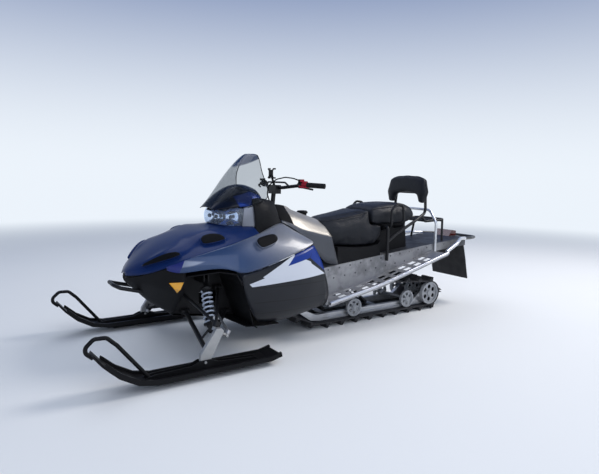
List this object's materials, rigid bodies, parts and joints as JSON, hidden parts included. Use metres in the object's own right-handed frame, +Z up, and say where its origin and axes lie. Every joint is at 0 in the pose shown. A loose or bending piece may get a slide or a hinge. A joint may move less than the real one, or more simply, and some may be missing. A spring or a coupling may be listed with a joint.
{
  "type": "two-up touring snowmobile",
  "caption": "Touring snowmobile on skis and a rubber track, with tall windshield, long seat, backrest and rear rack.",
  "frame": {"origin": "middle of the footprint's bounding box, on the snow under the ski runners and track lugs", "axes": "+X forward, +Y to the rider's left, +Z up"},
  "size_m": [3.27, 1.23, 1.1822],
  "materials": {
    "blue_body": "deep metallic blue, glossy",
    "silver_body": "silver grey metallic, glossy",
    "charcoal_body": "charcoal satin with pale and blue bands",
    "console_body": "silver beige, satin",
    "black_plastic": "moulded black, fine grain",
    "dome_plastic": "smoked black, glossy",
    "ski_plastic": "black polyethylene",
    "clear_screen": "clear sheet with a dark tint at the top",
    "lamp_glass": "clear lamp cover over bright reflectors",
    "amber_lens": "amber reflector",
    "red_lens": "red lens",
    "track_rubber": "black moulded rubber",
    "sheet_alloy": "brushed raw sheet",
    "tube_alloy": "bright tube",
    "cast_alloy": "cast, bead blasted",
    "black_tube": "black powder coat",
    "plain_steel": "plain steel",
    "coil_steel": "pale grey blue powder coat",
    "engine_metal": "rough cast",
    "wheel_plastic": "pale grey moulded wheel, dark tyre",
    "seat_vinyl": "black grained vinyl",
    "grip_rubber": "ribbed black rubber"
  },
  "bodies": {
    "root": {"track": "track_rubber", "drive_axle": "plain_steel", "idler_wheels": "wheel_plastic", "skid_rails": "tube_alloy", "skid_arms": "black_tube", "tunnel": "sheet_alloy", "running_boards": "sheet_alloy", "rear_bumper": "tube_alloy", "snow_flap": "track_rubber", "tail_light": "red_lens", "hitch": "plain_steel", "hood": "blue_body", "nose": "black_plastic", "upper_sides": "silver_body", "lower_sides": "charcoal_body", "belly_pan": "black_plastic", "bulkhead": "black_tube", "engine": "engine_metal", "headlight": "lamp_glass", "marker_lamps": "amber_lens", "pod": "dome_plastic", "pod_sides": "black_plastic", "windshield": "clear_screen", "tank_cover": "console_body", "fuel_cap": "black_plastic", "front_bumper": "black_tube", "a_arms": "black_tube", "shocks": "coil_steel", "seat_driver": "seat_vinyl", "seat_passenger": "seat_vinyl", "seat_base": "black_plastic", "backrest_pad": "seat_vinyl", "backrest_frame": "black_tube", "grab_handles": "black_tube", "rear_hoop": "tube_alloy", "rack": "black_tube"},
    "steering": {"handlebar": "black_tube", "grips": "grip_rubber", "controls": "black_plastic", "phone_holder": "black_plastic", "brake_hose": "grip_rubber"},
    "ski_left_body": {"spindle_left": "cast_alloy", "ski_left": "ski_plastic"},
    "ski_right_body": {"spindle_right": "cast_alloy", "ski_right": "ski_plastic"},
    "tie_left_body": {"tie_rod_left": "plain_steel"},
    "tie_right_body": {"tie_rod_right": "plain_steel"}
  },
  "joints": [
    {"name": "steer_bar", "type": "hinge", "parent": "root", "child": "steering", "pos_m": [0.3804, 0, 0.403], "axis": [-0.1015, 0, 0.9948], "range_deg": [-35, 35]},
    {"name": "steer_ski_left", "type": "hinge", "parent": "root", "child": "ski_left_body", "pos_m": [1.023, 0.505, 0.122], "axis": [-0.4399, -0.0894, 0.8936], "range_deg": [-28, 28]},
    {"name": "tie_eye_left", "type": "hinge", "parent": "ski_left_body", "child": "tie_left_body", "pos_m": [0.887, 0.486, 0.196], "axis": [-0.4399, -0.0894, 0.8936], "range_deg": [-28, 28]},
    {"name": "steer_ski_right", "type": "hinge", "parent": "root", "child": "ski_right_body", "pos_m": [1.023, -0.505, 0.122], "axis": [-0.4399, 0.0894, 0.8936], "range_deg": [-28, 28]},
    {"name": "tie_eye_right", "type": "hinge", "parent": "ski_right_body", "child": "tie_right_body", "pos_m": [0.887, -0.486, 0.196], "axis": [-0.4399, 0.0894, 0.8936], "range_deg": [-28, 28]}
  ],
  "couplings": [
    {"joint": "steer_ski_left", "follows": "steer_bar", "ratio": 0.8},
    {"joint": "tie_eye_left", "follows": "steer_bar", "ratio": -0.8},
    {"joint": "steer_ski_right", "follows": "steer_bar", "ratio": 0.8},
    {"joint": "tie_eye_right", "follows": "steer_bar", "ratio": -0.8}
  ]
}
